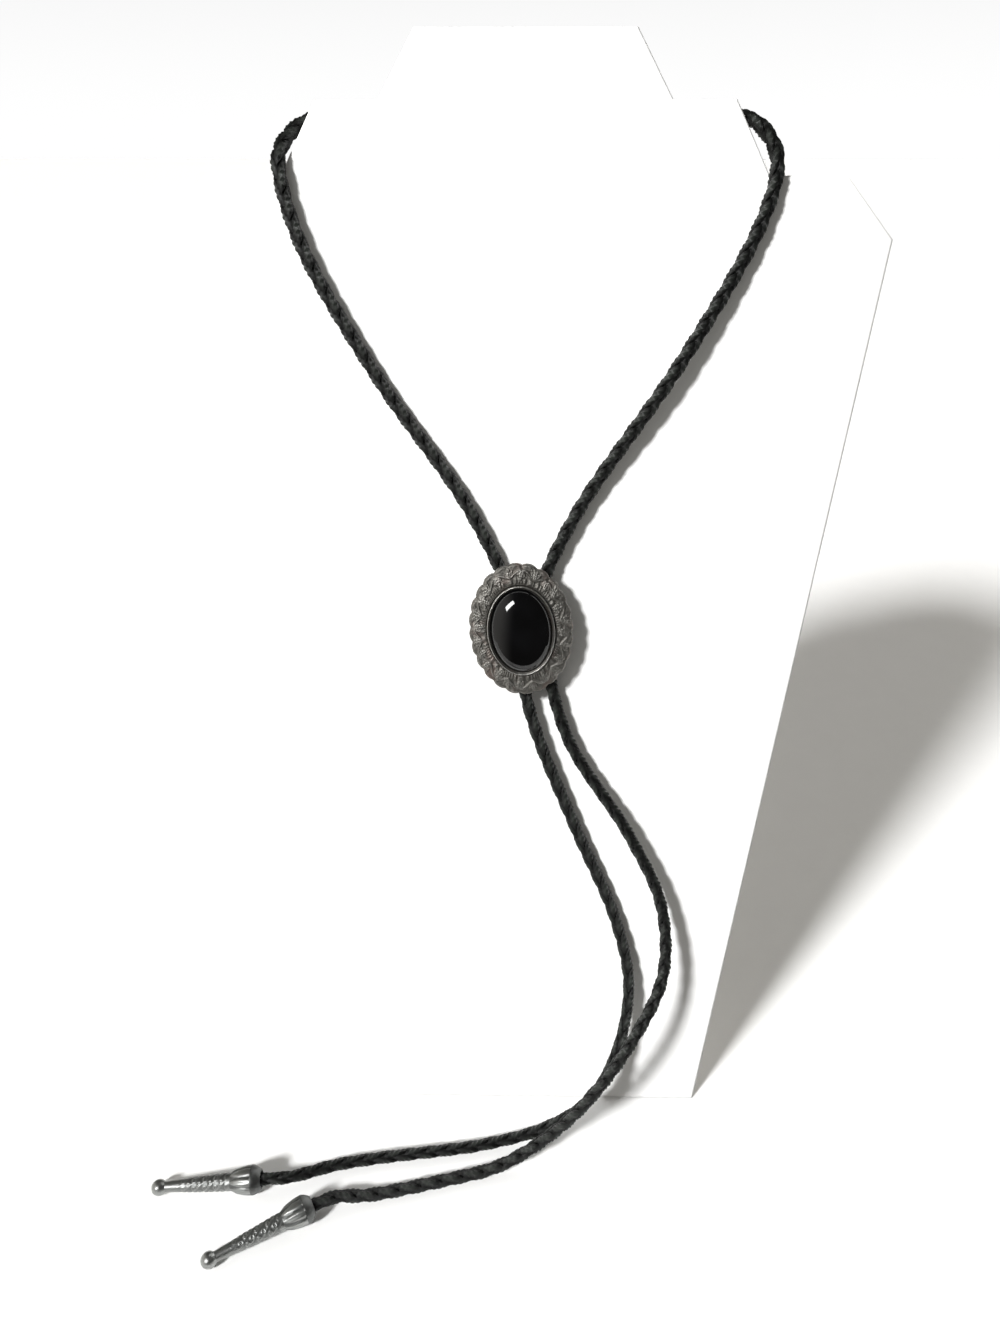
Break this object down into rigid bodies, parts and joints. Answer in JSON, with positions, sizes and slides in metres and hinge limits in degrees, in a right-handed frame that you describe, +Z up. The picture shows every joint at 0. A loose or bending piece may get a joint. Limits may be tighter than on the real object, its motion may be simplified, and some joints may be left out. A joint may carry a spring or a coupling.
{
  "type": "bolo tie on a necklace display board",
  "caption": "Braided leather bolo tie with an oval black stone slide and cast metal tips, hung on a white necklace display board with an easel leg.",
  "frame": {"origin": "middle of the display board's foot, where it stands on the table", "axes": "+Z up, -Y towards the viewer in front of the board, +X to the viewer's right"},
  "size_m": [0.2187, 0.1854, 0.3261],
  "materials": {
    "board_white": "smooth white covering",
    "cord_leather": "satin, braided",
    "antique_pewter": "cast metal, darkened in the hollows",
    "tip_metal": "cast metal, worn bright on the high places",
    "clip_metal": "plain sheet metal",
    "black_stone": "polished"
  },
  "bodies": {
    "root": {"display_board": "board_white", "easel_leg": "board_white", "cord": "cord_leather", "slide_setting": "antique_pewter", "stone": "black_stone", "slide_clip": "clip_metal", "tip_left": "tip_metal", "tip_right": "tip_metal"}
  },
  "joints": []
}
